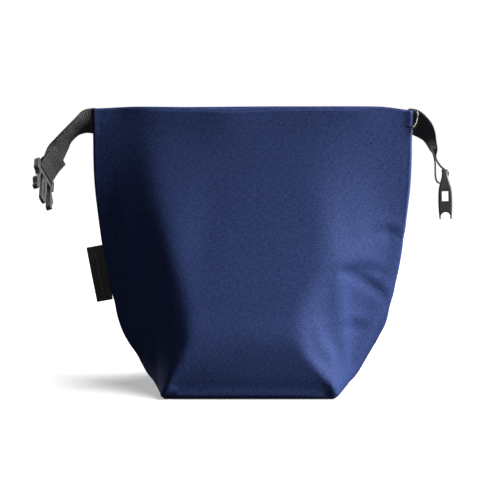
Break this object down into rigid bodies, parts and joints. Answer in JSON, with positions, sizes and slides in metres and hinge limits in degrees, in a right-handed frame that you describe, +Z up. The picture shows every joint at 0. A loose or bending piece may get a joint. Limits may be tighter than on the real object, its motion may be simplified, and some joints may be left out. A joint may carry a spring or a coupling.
{
  "type": "insulated cooler bag",
  "caption": "Soft insulated roll-top cooler bag on a boxed base, with webbing stubs and a side-release buckle at its top corners.",
  "frame": {"origin": "centre of the flat base, on the surface it stands on", "axes": "+Z up, -Y out of the front panel, +X towards the side that carries the female buckle"},
  "size_m": [0.4136, 0.15, 0.279],
  "materials": {
    "outer_fabric": "fine woven polyester, soft sheen",
    "foam": "closed-cell foam, matte",
    "liner": "wipe-clean film, satin",
    "base_board": "plain sheet plastic",
    "webbing": "ribbed webbing",
    "label": "woven satin label",
    "buckle_plastic": "moulded acetal, fine grain"
  },
  "bodies": {
    "bag_body": {"outer_front": "outer_fabric", "outer_back": "outer_fabric", "outer_base": "outer_fabric", "foam_front": "foam", "foam_back": "foam", "foam_base": "foam", "base_board": "base_board", "liner_front": "liner", "liner_back": "liner", "liner_base": "liner"},
    "crown": {"crown_outer_front": "outer_fabric", "crown_outer_back": "outer_fabric", "crown_foam_front": "foam", "crown_foam_back": "foam", "crown_liner_front": "liner", "crown_liner_back": "liner", "seam_corner_left": "outer_fabric", "seam_corner_right": "outer_fabric", "webbing_tail_left": "webbing", "webbing_tail_right": "webbing"},
    "front_lip": {"lip_outer_front": "outer_fabric", "lip_foam_front": "foam", "lip_liner_front": "liner", "hem_front": "outer_fabric"},
    "back_lip": {"lip_outer_back": "outer_fabric", "lip_foam_back": "foam", "lip_liner_back": "liner", "hem_back": "outer_fabric"},
    "left_strap": {"webbing_left": "webbing"},
    "right_strap": {"webbing_right": "webbing"},
    "male_buckle": {"male_frame": "buckle_plastic"},
    "rear_prong": {"prong_rear": "buckle_plastic"},
    "front_prong": {"prong_front": "buckle_plastic"},
    "female_buckle": {"female_housing": "buckle_plastic"},
    "side_label": {"label": "label"}
  },
  "joints": [
    {"name": "top_roll", "type": "hinge", "parent": "bag_body", "child": "crown", "pos_m": [0, -0.0157, 0.229], "axis": [1, 0, 0], "range_deg": [0, 165]},
    {"name": "mouth_front", "type": "hinge", "parent": "crown", "child": "front_lip", "pos_m": [0, -0.0116, 0.242], "axis": [-1, 0, 0], "range_deg": [-40, 0]},
    {"name": "mouth_back", "type": "hinge", "parent": "crown", "child": "back_lip", "pos_m": [0, 0.0116, 0.242], "axis": [1, 0, 0], "range_deg": [-40, 0]},
    {"name": "left_strap_swing", "type": "hinge", "parent": "crown", "child": "left_strap", "pos_m": [-0.1588, 0, 0.2645], "axis": [0, 0, 1], "range_deg": [-70, 45]},
    {"name": "right_strap_swing", "type": "hinge", "parent": "crown", "child": "right_strap", "pos_m": [0.1588, 0, 0.2645], "axis": [0, 0, 1], "range_deg": [-70, 40]},
    {"name": "male_buckle_pivot", "type": "hinge", "parent": "left_strap", "child": "male_buckle", "pos_m": [-0.2044, -0.016, 0.2148], "axis": [0.3402, 0.5503, -0.7625], "range_deg": [-25, 75]},
    {"name": "female_buckle_pivot", "type": "hinge", "parent": "right_strap", "child": "female_buckle", "pos_m": [0.191, 0, 0.2126], "axis": [0.1451, 0.9874, -0.063], "range_deg": [-60, 30]},
    {"name": "prong_squeeze", "type": "hinge", "parent": "male_buckle", "child": "rear_prong", "pos_m": [-0.19917, -0.02014, 0.19788], "axis": [-0.9373, 0.1329, -0.3223], "range_deg": [0, 6], "stiffness_Nm_per_rad": 2},
    {"name": "front_prong_squeeze", "type": "hinge", "parent": "male_buckle", "child": "front_prong", "pos_m": [-0.20761, -0.03379, 0.21679], "axis": [-0.9373, 0.1329, -0.3223], "range_deg": [-6, 0], "stiffness_Nm_per_rad": 2},
    {"name": "label_flap", "type": "hinge", "parent": "bag_body", "child": "side_label", "pos_m": [-0.1466, 0, 0.114], "axis": [-0.1771, 0, 0.9842], "range_deg": [-70, 70], "stiffness_Nm_per_rad": 0.002}
  ],
  "couplings": [
    {"joint": "mouth_back", "follows": "mouth_front", "ratio": 1},
    {"joint": "front_prong_squeeze", "follows": "prong_squeeze", "ratio": -1}
  ]
}
